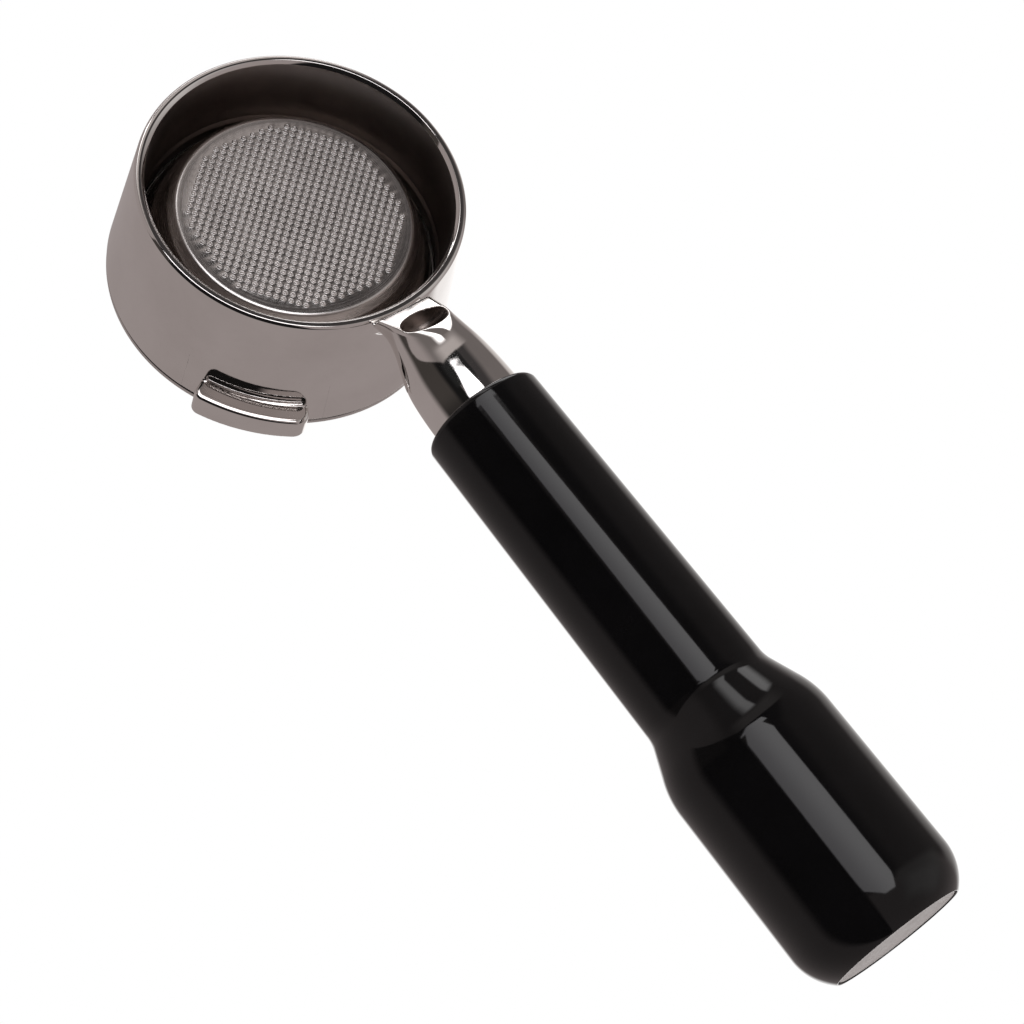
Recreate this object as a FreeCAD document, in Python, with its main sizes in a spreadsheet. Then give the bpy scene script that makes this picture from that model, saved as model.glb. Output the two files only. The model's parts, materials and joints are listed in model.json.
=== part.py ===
"""Bottomless 58 mm portafilter: ring casting with neck and bayonet lugs, lift-out
filter basket on a wire spring, and a turned handle clamped to the neck by a tie screw.

Frame: +Z up with the basket mouth upwards, +X along the handle, origin on the ring
axis in the plane of the basket flange's top (the sealing plane). Millimetres.
"""
import FreeCAD, Part
import os, math
import Sketcher

os.makedirs("parts", exist_ok=True)
doc = FreeCAD.newDocument("portafilter")
V = FreeCAD.Vector

# ---------------------------------------------------------------- driving dimensions
DIMS = [
    # ring casting; heights are above the bottom rim
    ("seal_height", 31.4, "bottom rim to the top of the basket flange"),
    ("ring_height", 29.6, "bottom rim to the ring's top face"),
    ("rim_outer_radius", 32.67, "outside of the wall at the bottom rim"),
    ("ring_top_radius", 35.08, "outside of the wall at the top"),
    ("rim_bevel", 0.45, "outer bevel of the bottom rim"),
    ("rim_inner_bevel", 0.7, "inner bevel of the bottom rim"),
    ("bore_low_radius", 30.65, "bore at the bottom rim"),
    ("bore_radius", 30.35, "bore where the basket drops in"),
    ("bore_step_height", 17.0, "height of the change between the two bores"),
    ("top_bevel", 0.35, "bevels of the ring's top face"),
    ("groove_height", 20.9, "underside of the spring groove"),
    ("groove_width", 1.7, "height of the spring groove"),
    ("groove_radius", 31.75, "bottom of the spring groove"),
    # bayonet lugs
    ("lug_radius", 38.95, "outside of the lugs"),
    ("lug_angle", 36.0, "length of a lug round the ring, degrees"),
    ("lug_azimuth", 44.8, "middle of the first lug from the handle, degrees"),
    ("lug_height", 5.5, "lug thickness at its middle"),
    ("lug_ramp", 2.0, "slope of the lug's lower face, degrees"),
    ("lug_lead_round", 3.0, "plan radius of the lug's end nearer the handle"),
    ("lug_tail_round", 1.9, "plan radius of the lug's other end"),
    ("lug_edge_round", 0.8, "rounded outer edge of the lug's lower face"),
    ("relief_width", 3.6, "height of the machined relief below a lug"),
    ("relief_depth", 0.75, "depth of the relief"),
    ("relief_angle", 32.5, "length of the relief round the ring, degrees"),
    ("relief_round", 2.2, "run-out radius at the relief's ends"),
    # neck; heights are above the bottom rim, stations are from the ring axis
    ("axis_height", 0.2, "handle axis above the bottom rim"),
    ("root_station", 26.0, "station of the hidden first section"),
    ("root_halfwidth", 6.6, ""), ("root_halfheight", 5.5, ""), ("root_mid", -0.3, ""),
    ("wall_station", 32.2, "station of the section in the ring's wall"),
    ("wall_halfwidth", 6.55, ""), ("wall_halfheight", 5.6, ""), ("wall_mid", -0.9, ""),
    ("lip_station", 36.0, "station of the section at the underside's flat"),
    ("lip_halfwidth", 6.35, ""), ("lip_halfheight", 5.75, ""), ("lip_mid", -1.6, ""),
    ("saddle_station", 38.6, "station of the section over the pocket"),
    ("saddle_halfwidth", 6.75, ""), ("saddle_halfheight", 5.9, ""), ("saddle_mid", -1.7, ""),
    ("waist_station", 41.8, "station where the neck turns round"),
    ("waist_halfwidth", 7.5, ""), ("waist_halfheight", 6.7, ""), ("waist_mid", -1.25, ""),
    ("swell_station", 47.0, ""), ("swell_radius", 8.8, ""), ("swell_mid", -0.1, ""),
    ("shoulder_station", 55.0, ""), ("shoulder_radius", 9.6, ""),
    ("neck_end", 61.3, "end of the neck, inside the handle"),
    ("flat_start", 33.05, "step between the rim and the underside's slanting flat"),
    ("flat_start_height", -1.2, ""),
    ("flat_near", 33.6, "slanting flat, end beside the ring"), ("flat_near_height", -1.9, ""),
    ("flat_far", 44.5, "slanting flat, end toward the handle"), ("flat_far_height", -9.4, ""),
    ("pocket_station", 38.45, "middle of the casting pocket under the neck"),
    ("pocket_halfwidth", 6.0, ""), ("pocket_halflength", 3.35, ""),
    ("pocket_depth", 12.0, "pocket roof below the neck's lowest point"),
    ("spigot_radius", 7.4, "spigot in the front bushing"),
    ("spigot_end", 73.0, ""),
    ("tap_radius", 4.02, "tapped hole of the neck, at the screw's outside"),
    ("tap_start", 47.0, "bottom of the tapped hole"),
    # basket
    ("flange_radius", 35.0, "outside of the rolled flange"),
    ("flange_thickness", 1.75, ""),
    ("sheet", 0.7, "thickness of the basket's sheet"),
    ("mouth_radius", 29.3, "inside of the basket at its mouth"),
    ("straight_depth", 10.5, "length of the straight upper wall"),
    ("floor_depth", 22.65, "underside of the floor below the sealing plane"),
    ("floor_edge_radius", 23.4, "where the floor's underside turns into the corner"),
    ("corner_radius", 24.95, "outside of the wall just above the corner"),
    ("corner_height", 1.5, ""),
    # retaining spring
    ("wire_radius", 0.65, ""), ("wire_ring_radius", 31.05, ""), ("wire_arc", 342.0, "degrees"),
    # handle grip; stations are from the ring axis
    ("grip_front", 58.95, ""), ("grip_front_radius", 12.28, ""), ("grip_front_round", 1.3, ""),
    ("grip_waist_end", 127.3, ""), ("grip_waist_radius", 13.03, ""),
    ("flare_a_station", 130.35, ""), ("flare_a_radius", 13.62, ""), ("flare_a_arc", 8.2, ""),
    ("flare_b_station", 135.8, ""), ("flare_b_radius", 15.76, ""), ("flare_b_arc", 18.8, ""),
    ("barrel_station", 142.9, ""), ("barrel_radius", 17.06, ""),
    ("barrel_end", 174.9, ""), ("barrel_end_radius", 17.28, ""),
    ("tail_arc", 11.0, ""), ("tail_station", 183.15, ""), ("tail_radius", 13.6, ""),
    ("sleeve_bore", 7.65, "bore of the grip for the core sleeve"),
    ("socket_radius", 9.78, "mouth of the grip round the neck"),
    ("bushing_radius", 10.3, ""), ("bushing_start", 63.2, ""), ("bushing_end", 76.0, ""),
    ("seat_station", 160.0, "shoulder that the washer bears on"),
    ("well_radius", 11.0, "well for the screw's head"),
    ("plug_station", 176.6, ""), ("plug_radius", 12.2, ""),
    ("disc_thickness", 1.2, ""), ("disc_radius", 13.2, ""), ("disc_recess_radius", 13.3, ""),
    ("disc_sink", 0.15, "end disc below the handle's end"),
    ("pad_thickness", 0.3, ""), ("pad_radius", 11.4, ""),
    # clamping
    ("screw_radius", 4.0, "M8 tie screw"), ("screw_head_radius", 6.5, ""), ("screw_head", 8.0, ""),
    ("key_flats", 6.0, "hexagon key size"), ("key_depth", 4.0, ""),
    ("washer_radius", 10.0, ""), ("washer_hole", 4.2, ""), ("washer_thickness", 1.6, ""),
    ("lock_radius", 6.4, ""), ("lock_thickness", 2.0, ""), ("lock_gap", 1.5, ""),
    ("sleeve_outer", 7.55, ""), ("sleeve_inner", 4.6, ""),
    ("seal_tube", 0.85, "neck seal ring"), ("seal_ring_radius", 8.65, ""),
    ("pin_radius", 1.0, "anti-rotation pin"), ("pin_length", 6.0, ""), ("pin_offset", 5.7, ""),
    ("pin_start", 69.05, ""),
]
sheet = doc.addObject("Spreadsheet::Sheet", "dims")
sheet.Label = "dims"
sheet.set("A1", "name"); sheet.set("B1", "value"); sheet.set("C1", "meaning")
VAL = {}
for n, (alias, value, meaning) in enumerate(DIMS):
    row = str(n + 2)
    sheet.set("A" + row, alias)
    sheet.set("B" + row, str(value))
    sheet.setAlias("B" + row, alias)
    sheet.set("C" + row, meaning)
    VAL[alias] = value
doc.recompute()


class Dim:
    """A length that carries its value and the expression that gives it."""

    def __init__(self, value, text):
        self.value, self.text = float(value), text

    def _other(self, o):
        return o if isinstance(o, Dim) else Dim(o, repr(float(o)))

    def __add__(self, o):
        o = self._other(o)
        return Dim(self.value + o.value, "(%s + %s)" % (self.text, o.text))

    def __sub__(self, o):
        o = self._other(o)
        return Dim(self.value - o.value, "(%s - %s)" % (self.text, o.text))

    def __mul__(self, o):
        o = self._other(o)
        return Dim(self.value * o.value, "(%s * %s)" % (self.text, o.text))

    def __truediv__(self, o):
        o = self._other(o)
        return Dim(self.value / o.value, "(%s / %s)" % (self.text, o.text))

    def __neg__(self):
        return Dim(-self.value, "(0 - %s)" % self.text)


def d(alias):
    return Dim(VAL[alias], "dims." + alias)


def num(x):
    return x if isinstance(x, Dim) else Dim(x, repr(float(x)))


ZERO = num(0)


def bind(obj, prop, dim, unit=""):
    dim = num(dim)
    obj.setExpression(prop, "(%s)%s" % (dim.text, unit))


def place(obj, x=0, y=0, z=0, axis=None, angle=0.0):
    """Placement with its base bound to the sheet."""
    x, y, z = num(x), num(y), num(z)
    rot = FreeCAD.Rotation(V(*axis), angle) if axis else FreeCAD.Rotation()
    obj.Placement = FreeCAD.Placement(V(x.value, y.value, z.value), rot)
    for prop, dim in (("x", x), ("y", y), ("z", z)):
        bind(obj, "Placement.Base." + prop, dim, " * 1mm")


def origin_plane(body, role):
    for f in body.Origin.OriginFeatures:
        if f.Role == role:
            return f
    raise RuntimeError(role)


def profile(body, name, plane, pts, arcs=None):
    """Closed sketch through pts; arcs maps a segment's index to (radius, side).

    Every vertex is dimensioned from the sketch origin. side is +1 when the arc's
    centre lies to the left of the way from its start to its end, else -1.
    """
    arcs = arcs or {}
    sk = body.newObject("Sketcher::SketchObject", name)
    sk.AttachmentSupport = [(origin_plane(body, plane), "")]
    sk.MapMode = "FlatFace"
    n = len(pts)
    P = [V(num(a).value, num(b).value, 0) for a, b in pts]
    for i in range(n):
        a, b = P[i], P[(i + 1) % n]
        if i in arcs:
            rad, side = num(arcs[i][0]), arcs[i][1]
            chord = b - a
            half = chord.Length / 2
            mid = (a + b) * 0.5
            left = V(-chord.y, chord.x, 0).normalize() * side
            dist = math.sqrt(max(rad.value ** 2 - half ** 2, 0))
            c = mid + left * dist
            first, last = (a, b) if side > 0 else (b, a)   # drawn anticlockwise
            a1 = math.atan2(first.y - c.y, first.x - c.x)
            a2 = math.atan2(last.y - c.y, last.x - c.x)
            if a2 < a1:
                a2 += 2 * math.pi
            sk.addGeometry(Part.ArcOfCircle(Part.Circle(c, V(0, 0, 1), rad.value), a1, a2), False)
        else:
            sk.addGeometry(Part.LineSegment(a, b), False)

    def ends(i):
        """Point numbers of the start and the end of segment i."""
        return (2, 1) if i in arcs and arcs[i][1] < 0 else (1, 2)

    E = [ends(i) for i in range(n)]
    for i in range(n):
        j = (i + 1) % n
        sk.addConstraint(Sketcher.Constraint("Coincident", i, E[i][1], j, E[j][0]))
    for i, (a, b) in enumerate(pts):
        for kind, dim in (("DistanceX", num(a)), ("DistanceY", num(b))):
            k = sk.addConstraint(Sketcher.Constraint(kind, -1, 1, i, E[i][0], dim.value))
            bind(sk, "Constraints[%d]" % k, dim, " * 1mm")
    for i in arcs:
        rad = num(arcs[i][0])
        k = sk.addConstraint(Sketcher.Constraint("Radius", i, rad.value))
        bind(sk, "Constraints[%d]" % k, rad, " * 1mm")
    return sk


def revolve(body, sk, axis):
    """Full revolution about the sketch's vertical (V_Axis) or horizontal (H_Axis) axis."""
    rev = body.newObject("PartDesign::Revolution", sk.Name + "_turn")
    rev.Profile = sk
    rev.ReferenceAxis = (sk, [axis])
    rev.Angle = 360
    body.Tip = rev
    return rev


def turned(name, pts, along_x=True, arcs=None):
    """A turned piece. Along X it sits on the handle axis, otherwise on the ring axis."""
    body = doc.addObject("PartDesign::Body", name)
    body.Label = name
    sk = profile(body, name + "_profile", "XY_Plane" if along_x else "XZ_Plane", pts, arcs)
    revolve(body, sk, "H_Axis" if along_x else "V_Axis")
    doc.recompute()
    if along_x:
        place(body, z=d("axis_height") - d("seal_height"))
    else:
        place(body, z=-d("seal_height"))
    return body


def cylinder(name, radius, height, x=0, y=0, z=0, axis=None, angle=0.0, sector=None):
    c = doc.addObject("Part::Cylinder", name)
    bind(c, "Radius", radius, " * 1mm")
    bind(c, "Height", height, " * 1mm")
    if sector is not None:
        bind(c, "Angle", sector, " * 1deg")
    place(c, x, y, z, axis, angle)
    return c


def combine(kind, name, base, tool):
    o = doc.addObject("Part::" + kind, name)
    o.Base, o.Tool = base, tool
    return o


def fuse(name, shapes):
    o = doc.addObject("Part::MultiFuse", name)
    o.Shapes = shapes
    return o


ALONG_X = ((0, 1, 0), 90)   # turns a cylinder's +Z to +X
ZB = -d("seal_height")      # bottom rim
ZA = d("axis_height") - d("seal_height")   # handle axis
PARTS = []

# ---------------------------------------------------------------- head casting
blank = turned("ring_blank", [
    (ZERO, ZERO),
    (d("rim_outer_radius") - d("rim_bevel"), ZERO),
    (d("rim_outer_radius") + 0.04, d("rim_bevel")),
    (d("ring_top_radius"), d("ring_height") - d("top_bevel")),
    (d("ring_top_radius") - d("top_bevel"), d("ring_height")),
    (ZERO, d("ring_height")),
], along_x=False)
bore = turned("ring_bore", [
    (ZERO, num(-1)),
    (d("bore_low_radius") + d("rim_inner_bevel") + 1, num(-1)),
    (d("bore_low_radius"), d("rim_inner_bevel")),
    (d("bore_low_radius"), d("bore_step_height")),
    (d("bore_radius"), d("bore_step_height") + 1.2),
    (d("bore_radius"), d("groove_height")),
    (d("groove_radius"), d("groove_height")),
    (d("groove_radius"), d("groove_height") + d("groove_width")),
    (d("bore_radius"), d("groove_height") + d("groove_width")),
    (d("bore_radius"), d("ring_height") - d("top_bevel")),
    (d("bore_radius") + d("top_bevel") + 1, d("ring_height") + 1),
    (ZERO, d("ring_height") + 1),
], along_x=False)


def section(name, station, halfwidth, halfheight, mid):
    """Elliptical section of the neck across X at a height above the bottom rim."""
    e = doc.addObject("Part::Ellipse", name)
    station, mid = num(station), num(mid)
    hw, hh = num(halfwidth), num(halfheight)
    bind(e, "MajorRadius", hw, " * 1mm")
    bind(e, "MinorRadius", hh, " * 1mm")
    # local X (major) to row Y, local Y (minor) to row Z, local Z to row X
    rot = FreeCAD.Rotation(V(0, 1, 0), V(0, 0, 1), V(1, 0, 0), "XYZ")
    e.Placement = FreeCAD.Placement(V(0, 0, 0), rot)
    bind(e, "Placement.Base.x", station, " * 1mm")
    bind(e, "Placement.Base.z", mid - d("seal_height"), " * 1mm")
    return e


secs = [
    section("neck_root", d("root_station"), d("root_halfwidth"), d("root_halfheight"), d("root_mid")),
    section("neck_wall", d("wall_station"), d("wall_halfwidth"), d("wall_halfheight"), d("wall_mid")),
    section("neck_lip", d("lip_station"), d("lip_halfwidth"), d("lip_halfheight"), d("lip_mid")),
    section("neck_saddle", d("saddle_station"), d("saddle_halfwidth"), d("saddle_halfheight"), d("saddle_mid")),
    section("neck_waist", d("waist_station"), d("waist_halfwidth"), d("waist_halfheight"), d("waist_mid")),
    section("neck_swell", d("swell_station"), d("swell_radius") + 0.001, d("swell_radius"), d("swell_mid")),
    section("neck_shoulder", d("shoulder_station"), d("shoulder_radius") + 0.001, d("shoulder_radius"), d("axis_height")),
]
neck = doc.addObject("Part::Loft", "neck")
neck.Sections = secs
neck.Solid = True
neck.Ruled = False
under = doc.addObject("PartDesign::Body", "neck_undercut")
under_sketch = profile(under, "neck_undercut_profile", "XZ_Plane", [
    (num(20), num(-16)),
    (num(20), num(0.7)),
    (d("flat_start") - 0.3, num(0.7)),
    (d("flat_start"), d("flat_start_height")),
    (d("flat_near"), d("flat_near_height")),
    (d("flat_far"), d("flat_far_height")),
    (num(46), num(-16)),
], arcs={3: (num(1.1), -1)})
under_pad = under.newObject("PartDesign::Pad", "neck_undercut_pad")
under_pad.Profile = under_sketch
under_pad.Length = 40
under_pad.Midplane = True
under.Tip = under_pad
doc.recompute()
place(under, z=ZB)
neck = combine("Cut", "neck_flattened", neck, under)
collar = turned("neck_collar", [
    (d("shoulder_station") - 1.5, num(0)),
    (d("shoulder_station") - 1.5, d("shoulder_radius") - 0.4),
    (d("shoulder_station"), d("shoulder_radius") + 0.05),
    (d("neck_end"), d("shoulder_radius") + 0.05),
    (d("neck_end"), num(0)),
])
spigot = cylinder("spigot", d("spigot_radius"), d("spigot_end") - d("neck_end") + 2,
                  x=d("neck_end") - 2, z=ZA, axis=ALONG_X[0], angle=ALONG_X[1])
doc.recompute()

lugs = []
for k, turn in enumerate((0, 180)):
    lug = cylinder("lug_%d" % (k + 1), d("lug_radius"), d("lug_height") + 1.5,
                   z=d("ring_height") - d("seal_height") - d("lug_height") - 1.5,
                   axis=(0, 0, 1), angle=VAL["lug_azimuth"] - VAL["lug_angle"] / 2 + turn,
                   sector=d("lug_angle"))
    trim = doc.addObject("Part::Box", "lug_%d_trim" % (k + 1))
    trim.Length, trim.Width, trim.Height = 60, 60, 6
    # the trimming block's top face is the lug's sloping lower face
    mid = math.radians(VAL["lug_azimuth"] + turn)
    rot = (FreeCAD.Rotation(V(0, 0, 1), math.degrees(mid))
           .multiply(FreeCAD.Rotation(V(1, 0, 0), -VAL["lug_ramp"])))
    top = V(0, 0, VAL["ring_height"] - VAL["seal_height"] - VAL["lug_height"])
    trim.Placement = FreeCAD.Placement(top, rot).multiply(
        FreeCAD.Placement(V(0, -30, -6), FreeCAD.Rotation()))
    lugs.append(combine("Cut", "lug_%d_ramped" % (k + 1), lug, trim))
doc.recompute()

rounded_lugs = []
for k, lug in enumerate(lugs):
    fil = doc.addObject("Part::Fillet", "lug_%d_rounded" % (k + 1))
    fil.Base = lug
    edges = []
    lead = math.radians(VAL["lug_azimuth"] - VAL["lug_angle"] / 2 + 180 * k)
    floor_z = VAL["ring_height"] - VAL["seal_height"] - VAL["lug_height"] + 2
    for n, e in enumerate(lug.Shape.Edges):
        if len(e.Vertexes) != 2:
            continue
        ends = [e.Vertexes[0].Point, e.Vertexes[1].Point]
        if any(math.hypot(p.x, p.y) < VAL["lug_radius"] - 0.3 for p in ends):
            continue
        if abs(ends[0].z - ends[1].z) > 3:
            near = math.cos(math.atan2(ends[0].y, ends[0].x) - lead) > math.cos(0.2)
            r = VAL["lug_lead_round"] if near else VAL["lug_tail_round"]
            edges.append((n + 1, r, r))
        elif max(p.z for p in ends) < floor_z:
            edges.append((n + 1, VAL["lug_edge_round"], VAL["lug_edge_round"]))
    fil.Edges = edges
    rounded_lugs.append(fil)
doc.recompute()

reliefs = []
for k, turn in enumerate((0, 180)):
    outer = cylinder("relief_%d_outer" % (k + 1), d("lug_radius"), d("relief_width"),
                     z=d("ring_height") - d("seal_height") - d("lug_height") - d("relief_width") + 0.1,
                     axis=(0, 0, 1), angle=VAL["lug_azimuth"] - VAL["relief_angle"] / 2 + turn,
                     sector=d("relief_angle"))
    inner = cylinder("relief_%d_inner" % (k + 1), d("ring_top_radius") - d("relief_depth") - 0.35,
                     d("relief_width") + 2,
                     z=d("ring_height") - d("seal_height") - d("lug_height") - d("relief_width") - 0.9)
    band = combine("Cut", "relief_%d_band" % (k + 1), outer, inner)
    doc.recompute()
    run_out = doc.addObject("Part::Fillet", "relief_%d" % (k + 1))
    run_out.Base = band
    low = band.Shape.BoundBox.ZMin
    run_out.Edges = [(n + 1, VAL["relief_round"], VAL["relief_round"])
                     for n, e in enumerate(band.Shape.Edges)
                     if len(e.Vertexes) == 2 and e.Curve.TypeId == "Part::GeomLine"
                     and all(abs(v.Point.z - low) < 1e-4 for v in e.Vertexes)]
    reliefs.append(run_out)

solid = fuse("casting_blank", [blank, neck, collar, spigot] + rounded_lugs)
solid.Refine = True
pocket_low = doc.addObject("Part::Ellipsoid", "pocket")
bind(pocket_low, "Radius1", d("pocket_depth") / 2 + 3, " * 1mm")
bind(pocket_low, "Radius2", d("pocket_halflength"), " * 1mm")
bind(pocket_low, "Radius3", d("pocket_halfwidth"), " * 1mm")
place(pocket_low, x=d("pocket_station"), z=ZA - 10.0)
tap = cylinder("tapped_hole", d("tap_radius"), d("spigot_end") - d("tap_start") + 1,
               x=d("tap_start"), z=ZA, axis=ALONG_X[0], angle=ALONG_X[1])
pin_hole = cylinder("pin_hole_in_spigot", d("pin_radius") + 0.01, num(6),
                    x=d("pin_start") - 0.1, z=ZA + d("pin_offset"), axis=ALONG_X[0], angle=ALONG_X[1])
cuts = fuse("casting_cuts", [bore, pocket_low, tap, pin_hole] + reliefs)
cuts.Refine = False
doc.recompute()
casting = combine("Cut", "head_casting", solid, cuts)
casting.Label = "head_casting"
PARTS.append(casting)
doc.recompute()

# ---------------------------------------------------------------- filter basket
# pressed from sheet: rolled flange, straight upper wall, tapering lower wall, flat floor
T = d("sheet")
top = d("seal_height")
basket = turned("filter_basket", [
    (ZERO, top - d("floor_depth")),
    (d("floor_edge_radius"), top - d("floor_depth")),
    (d("corner_radius"), top - d("floor_depth") + d("corner_height")),
    (d("mouth_radius") + T, top - d("straight_depth")),
    (d("mouth_radius") + T, top - d("flange_thickness")),
    (d("flange_radius") - 0.35, top - d("flange_thickness")),
    (d("flange_radius"), top - d("flange_thickness") + 0.35),
    (d("flange_radius"), top - 0.5),
    (d("flange_radius") - 0.5, top),
    (d("mouth_radius") + 0.6, top),
    (d("mouth_radius"), top - 0.6),
    (d("mouth_radius"), top - d("straight_depth")),
    (d("corner_radius") - T, top - d("floor_depth") + d("corner_height") + 0.1),
    (d("floor_edge_radius") - 0.35, top - d("floor_depth") + T),
    (ZERO, top - d("floor_depth") + T),
], along_x=False)
PARTS.append(basket)

# ---------------------------------------------------------------- retaining spring
spring = doc.addObject("Part::Torus", "retaining_spring")
spring.Label = "retaining_spring"
bind(spring, "Radius1", d("wire_ring_radius"), " * 1mm")
bind(spring, "Radius2", d("wire_radius"), " * 1mm")
bind(spring, "Angle3", d("wire_arc"), " * 1deg")
place(spring, z=d("groove_height") + d("groove_width") / 2 - d("seal_height"),
      axis=(0, 0, 1), angle=99.0)
PARTS.append(spring)

# ---------------------------------------------------------------- handle grip
grip = turned("handle_grip", [
    (d("grip_front"), d("socket_radius")),
    (d("grip_front"), d("grip_front_radius") - d("grip_front_round")),
    (d("grip_front") + d("grip_front_round"), d("grip_front_radius")),
    (d("grip_waist_end"), d("grip_waist_radius")),
    (d("flare_a_station"), d("flare_a_radius")),
    (d("flare_b_station"), d("flare_b_radius")),
    (d("barrel_station"), d("barrel_radius")),
    (d("barrel_end"), d("barrel_end_radius")),
    (d("tail_station"), d("tail_radius")),
    (d("tail_station"), d("disc_recess_radius")),
    (d("tail_station") - d("disc_sink") - d("disc_thickness") - d("pad_thickness"), d("disc_recess_radius")),
    (d("tail_station") - d("disc_sink") - d("disc_thickness") - d("pad_thickness"), d("plug_radius") + 0.05),
    (d("plug_station"), d("plug_radius") + 0.05),
    (d("plug_station"), d("well_radius")),
    (d("seat_station"), d("well_radius")),
    (d("seat_station"), d("sleeve_bore")),
    (d("bushing_end"), d("sleeve_bore")),
    (d("bushing_end"), d("bushing_radius") + 0.02),
    (d("bushing_start"), d("bushing_radius") + 0.02),
    (d("bushing_start"), d("socket_radius")),
], arcs={1: (d("grip_front_round"), -1), 3: (d("flare_a_arc"), 1), 5: (d("flare_b_arc"), -1),
         7: (d("tail_arc"), -1)})
PARTS.append(grip)

# brass bushing moulded into the grip's mouth, which takes the neck's spigot
bushing_turned = turned("bushing_turned", [
    (d("bushing_start"), d("spigot_radius") + 0.03),
    (d("bushing_start"), d("bushing_radius") - 0.4),
    (d("bushing_start") + 0.4, d("bushing_radius")),
    (d("bushing_end") - 4.4, d("bushing_radius")),
    (d("bushing_end") - 4.0, d("bushing_radius") - 0.6),
    (d("bushing_end") - 3.0, d("bushing_radius") - 0.6),
    (d("bushing_end") - 2.6, d("bushing_radius")),
    (d("bushing_end"), d("bushing_radius")),
    (d("bushing_end"), d("sleeve_inner")),
    (d("spigot_end") + 0.05, d("sleeve_inner")),
    (d("spigot_end") + 0.05, d("spigot_radius") + 0.03),
])
pin_hole_b = cylinder("pin_hole_in_bushing", d("pin_radius") + 0.01, num(3),
                      x=d("pin_start") + d("pin_length") + 0.1 - 3, z=ZA + d("pin_offset"),
                      axis=ALONG_X[0], angle=ALONG_X[1])
bushing = combine("Cut", "front_bushing", bushing_turned, pin_hole_b)
bushing.Label = "front_bushing"
PARTS.append(bushing)

# dowel that stops the handle turning on the neck
pin = turned("anti_rotation_pin", [
    (d("pin_start"), ZERO),
    (d("pin_start"), d("pin_radius") - 0.25),
    (d("pin_start") + 0.25, d("pin_radius")),
    (d("pin_start") + d("pin_length") - 0.25, d("pin_radius")),
    (d("pin_start") + d("pin_length"), d("pin_radius") - 0.25),
    (d("pin_start") + d("pin_length"), ZERO),
])
place(pin, z=ZA + d("pin_offset"))
PARTS.append(pin)

# rubber ring between the neck's end face and the bushing
seal = doc.addObject("Part::Torus", "neck_seal_ring")
seal.Label = "neck_seal_ring"
bind(seal, "Radius1", d("seal_ring_radius"), " * 1mm")
bind(seal, "Radius2", d("seal_tube"), " * 1mm")
place(seal, x=d("neck_end") + d("seal_tube") + 0.03, z=ZA, axis=ALONG_X[0], angle=ALONG_X[1])
PARTS.append(seal)

# steel sleeve that carries the clamping load from the washer to the bushing
PARTS.append(turned("core_sleeve", [
    (d("bushing_end"), d("sleeve_inner")),
    (d("bushing_end"), d("sleeve_outer") - 0.4),
    (d("bushing_end") + 0.4, d("sleeve_outer")),
    (d("seat_station") - 0.4, d("sleeve_outer")),
    (d("seat_station"), d("sleeve_outer") - 0.4),
    (d("seat_station"), d("sleeve_inner")),
]))

# ---------------------------------------------------------------- clamping stack
washer_at = d("seat_station")
PARTS.append(turned("flat_washer", [
    (washer_at, d("washer_hole")),
    (washer_at, d("washer_radius")),
    (washer_at + d("washer_thickness") - 0.25, d("washer_radius")),
    (washer_at + d("washer_thickness"), d("washer_radius") - 0.25),
    (washer_at + d("washer_thickness"), d("washer_hole")),
]))
lock_at = washer_at + d("washer_thickness")
lock_ring = turned("lock_ring", [
    (lock_at, d("washer_hole")),
    (lock_at, d("lock_radius")),
    (lock_at + d("lock_thickness"), d("lock_radius")),
    (lock_at + d("lock_thickness"), d("washer_hole")),
])
slit = doc.addObject("Part::Box", "lock_slit")
slit.Width, slit.Height = 12, 12
bind(slit, "Length", d("lock_gap"), " * 1mm")
slit.Placement = FreeCAD.Placement(
    V(VAL["seat_station"] + VAL["washer_thickness"] - 1.6, 0, VAL["axis_height"] - VAL["seal_height"]),
    FreeCAD.Rotation(V(0, 0, 1), -32)).multiply(FreeCAD.Placement(V(0, -3, 0), FreeCAD.Rotation()))
slit.Length = 1.5
bind(slit, "Length", d("lock_gap"), " * 1mm")
slit.Width = 18
lock = combine("Cut", "lock_washer", lock_ring, slit)
lock.Label = "lock_washer"
PARTS.append(lock)

head_at = lock_at + d("lock_thickness")
screw_turned = turned("screw_turned", [
    (d("tap_start") + 1.0, ZERO),
    (d("tap_start") + 1.0, d("screw_radius") - 0.7),
    (d("tap_start") + 1.7, d("screw_radius")),
    (head_at, d("screw_radius")),
    (head_at, d("screw_head_radius")),
    (head_at + d("screw_head") - 0.6, d("screw_head_radius")),
    (head_at + d("screw_head"), d("screw_head_radius") - 0.6),
    (head_at + d("screw_head"), ZERO),
])
key = doc.addObject("Part::Prism", "screw_key")
key.Polygon = 6
bind(key, "Circumradius", d("key_flats") / 2 / 0.8660254, " * 1mm")
bind(key, "Height", d("key_depth") + 1, " * 1mm")
place(key, x=head_at + d("screw_head") - d("key_depth"), z=ZA, axis=ALONG_X[0], angle=ALONG_X[1])
screw = combine("Cut", "tie_screw", screw_turned, key)
screw.Label = "tie_screw"
PARTS.append(screw)

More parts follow.
